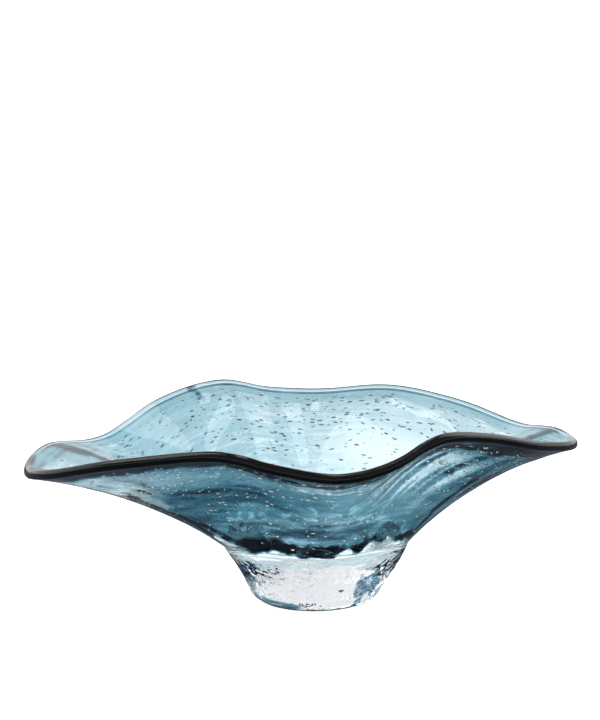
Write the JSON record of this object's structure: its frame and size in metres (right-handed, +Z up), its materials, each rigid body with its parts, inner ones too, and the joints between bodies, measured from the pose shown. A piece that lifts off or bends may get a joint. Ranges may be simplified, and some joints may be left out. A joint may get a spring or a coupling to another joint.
{
  "type": "art glass bowl",
  "caption": "Wide freeform bowl of blue and clear cased glass with a ruffled fire-polished lip and a heavy clear foot, for a table centre or for fruit",
  "frame": {"origin": "centre of the ground and polished flat under the foot, where the bowl stands", "axes": "+Z up out of the bowl's mouth, +X to the right tip along the bowl's longer side, +Y to the back, and the left lobe with the lowest rim points along -X"},
  "size_m": [0.4448, 0.3392, 0.1603],
  "materials": {
    "clear_glass": "fire-polished clear glass, smooth and glossy",
    "blue_glass": "transparent teal-blue glass, streaked and seeded",
    "lip_glass": "fire-polished bead, deep blue seen edge-on",
    "foot_glass": "thick clear glass with tooled hollows, ground and polished flat underneath"
  },
  "bodies": {
    "root": {"clear_lining": "clear_glass", "blue_colour_layer": "blue_glass", "clear_casing": "clear_glass", "fire_polished_lip": "lip_glass", "clear_foot": "foot_glass"}
  },
  "joints": []
}
